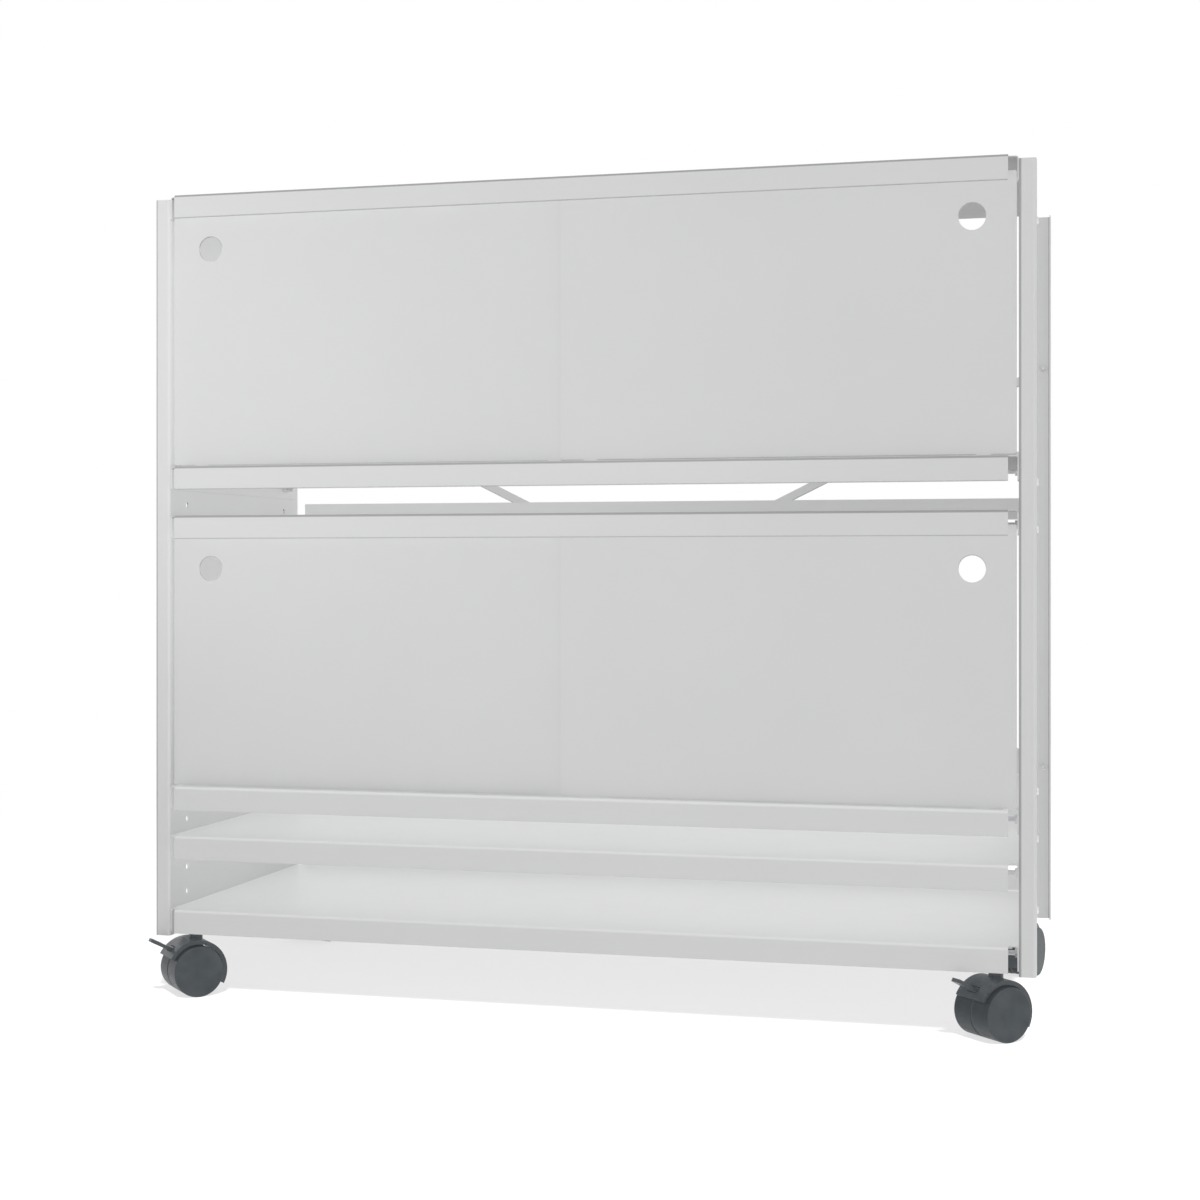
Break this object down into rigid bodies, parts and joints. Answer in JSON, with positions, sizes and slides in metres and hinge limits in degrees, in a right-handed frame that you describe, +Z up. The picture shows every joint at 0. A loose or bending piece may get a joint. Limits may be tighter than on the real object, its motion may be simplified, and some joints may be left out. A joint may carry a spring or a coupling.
{
  "type": "rolling sheet-metal cabinet with sliding doors",
  "caption": "Open-backed sheet-metal lowboard on swivelling casters, with perforated channel sides, folded shelves and overlapping sliding doors with finger holes.",
  "frame": {"origin": "on the floor, midway between the sides and midway in the side panels' depth", "axes": "+Z up, -Y towards the front, +X to the right seen from the front"},
  "size_m": [1.0585, 0.459, 1.0015],
  "materials": {
    "coat": "semi-gloss light grey powder coat",
    "hardware": "zinc plated",
    "steel": "zinc plated",
    "pale_plastic": "matte grey",
    "caster_plastic": "satin dark grey",
    "wheel": "satin dark grey"
  },
  "bodies": {
    "carcass": {"left_side_panel": "coat", "right_side_panel": "coat", "top_shelf": "coat", "upper_bay_floor": "coat", "lower_bay_roof": "coat", "lower_bay_floor": "coat", "tray_shelf": "coat", "base_shelf": "coat", "left_shelf_bolts": "hardware", "left_shelf_nuts": "hardware", "right_shelf_bolts": "hardware", "right_shelf_nuts": "hardware", "rising_brace": "coat", "falling_brace": "coat", "brace_bolts": "hardware", "brace_nuts": "hardware", "brace_spacers": "hardware", "upper_door_track": "pale_plastic", "lower_door_track": "pale_plastic", "upper_door_guide": "pale_plastic", "lower_door_guide": "pale_plastic", "front_left_caster_socket": "steel", "front_right_caster_socket": "steel", "rear_left_caster_socket": "steel", "rear_right_caster_socket": "steel"},
    "upper_left_door": {"upper_left_door": "coat", "upper_left_door_glides": "pale_plastic"},
    "upper_right_door": {"upper_right_door": "coat", "upper_right_door_glides": "pale_plastic"},
    "lower_left_door": {"lower_left_door": "coat", "lower_left_door_glides": "pale_plastic"},
    "lower_right_door": {"lower_right_door": "coat", "lower_right_door_glides": "pale_plastic"},
    "front_left_swivel": {"front_left_caster_hood": "caster_plastic", "front_left_caster_stem": "steel", "front_left_caster_axle": "steel", "front_left_brake_pin": "caster_plastic"},
    "front_left_wheel_near": {"front_left_caster_wheel_near": "wheel"},
    "front_left_wheel_far": {"front_left_caster_wheel_far": "wheel"},
    "front_left_brake": {"front_left_brake_pedal": "caster_plastic"},
    "front_right_swivel": {"front_right_caster_hood": "caster_plastic", "front_right_caster_stem": "steel", "front_right_caster_axle": "steel", "front_right_brake_pin": "caster_plastic"},
    "front_right_wheel_near": {"front_right_caster_wheel_near": "wheel"},
    "front_right_wheel_far": {"front_right_caster_wheel_far": "wheel"},
    "front_right_brake": {"front_right_brake_pedal": "caster_plastic"},
    "rear_left_swivel": {"rear_left_caster_hood": "caster_plastic", "rear_left_caster_stem": "steel", "rear_left_caster_axle": "steel"},
    "rear_left_wheel_near": {"rear_left_caster_wheel_near": "wheel"},
    "rear_left_wheel_far": {"rear_left_caster_wheel_far": "wheel"},
    "rear_right_swivel": {"rear_right_caster_hood": "caster_plastic", "rear_right_caster_stem": "steel", "rear_right_caster_axle": "steel"},
    "rear_right_wheel_near": {"rear_right_caster_wheel_near": "wheel"},
    "rear_right_wheel_far": {"rear_right_caster_wheel_far": "wheel"}
  },
  "joints": [
    {"name": "upper_left_door_slide", "type": "slide", "parent": "carcass", "child": "upper_left_door", "axis": [1, 0, 0], "range_m": [0, 0.4933]},
    {"name": "upper_right_door_slide", "type": "slide", "parent": "carcass", "child": "upper_right_door", "axis": [-1, 0, 0], "range_m": [0, 0.4933]},
    {"name": "lower_left_door_slide", "type": "slide", "parent": "carcass", "child": "lower_left_door", "axis": [1, 0, 0], "range_m": [0, 0.4933]},
    {"name": "lower_right_door_slide", "type": "slide", "parent": "carcass", "child": "lower_right_door", "axis": [-1, 0, 0], "range_m": [0, 0.4933]},
    {"name": "front_left_swivel_turn", "type": "hinge", "parent": "carcass", "child": "front_left_swivel", "pos_m": [-0.4837, -0.1812, 0.079], "axis": [0, 0, 1], "continuous": true},
    {"name": "front_left_wheel_near_roll", "type": "hinge", "parent": "front_left_swivel", "child": "front_left_wheel_near", "pos_m": [-0.48734, -0.18462, 0.0306], "axis": [0.6845, -0.729, 0], "continuous": true},
    {"name": "front_left_wheel_far_roll", "type": "hinge", "parent": "front_left_swivel", "child": "front_left_wheel_far", "pos_m": [-0.48734, -0.18462, 0.0306], "axis": [0.6845, -0.729, 0], "continuous": true},
    {"name": "front_left_brake_press", "type": "hinge", "parent": "front_left_swivel", "child": "front_left_brake", "pos_m": [-0.50539, -0.20156, 0.05535], "axis": [0.6845, -0.729, 0], "range_deg": [0, 12]},
    {"name": "front_right_swivel_turn", "type": "hinge", "parent": "carcass", "child": "front_right_swivel", "pos_m": [0.4837, -0.1812, 0.079], "axis": [0, 0, 1], "continuous": true},
    {"name": "front_right_wheel_near_roll", "type": "hinge", "parent": "front_right_swivel", "child": "front_right_wheel_near", "pos_m": [0.48006, -0.18462, 0.0306], "axis": [0.6845, -0.729, 0], "continuous": true},
    {"name": "front_right_wheel_far_roll", "type": "hinge", "parent": "front_right_swivel", "child": "front_right_wheel_far", "pos_m": [0.48006, -0.18462, 0.0306], "axis": [0.6845, -0.729, 0], "continuous": true},
    {"name": "front_right_brake_press", "type": "hinge", "parent": "front_right_swivel", "child": "front_right_brake", "pos_m": [0.46201, -0.20156, 0.05535], "axis": [0.6845, -0.729, 0], "range_deg": [0, 12]},
    {"name": "rear_left_swivel_turn", "type": "hinge", "parent": "carcass", "child": "rear_left_swivel", "pos_m": [-0.4837, 0.1899, 0.079], "axis": [0, 0, 1], "continuous": true},
    {"name": "rear_left_wheel_near_roll", "type": "hinge", "parent": "rear_left_swivel", "child": "rear_left_wheel_near", "pos_m": [-0.48249, 0.19475, 0.0306], "axis": [-0.9703, 0.2419, 0], "continuous": true},
    {"name": "rear_left_wheel_far_roll", "type": "hinge", "parent": "rear_left_swivel", "child": "rear_left_wheel_far", "pos_m": [-0.48249, 0.19475, 0.0306], "axis": [-0.9703, 0.2419, 0], "continuous": true},
    {"name": "rear_right_swivel_turn", "type": "hinge", "parent": "carcass", "child": "rear_right_swivel", "pos_m": [0.4837, 0.1899, 0.079], "axis": [0, 0, 1], "continuous": true},
    {"name": "rear_right_wheel_near_roll", "type": "hinge", "parent": "rear_right_swivel", "child": "rear_right_wheel_near", "pos_m": [0.48491, 0.19475, 0.0306], "axis": [-0.9703, 0.2419, 0], "continuous": true},
    {"name": "rear_right_wheel_far_roll", "type": "hinge", "parent": "rear_right_swivel", "child": "rear_right_wheel_far", "pos_m": [0.48491, 0.19475, 0.0306], "axis": [-0.9703, 0.2419, 0], "continuous": true}
  ]
}
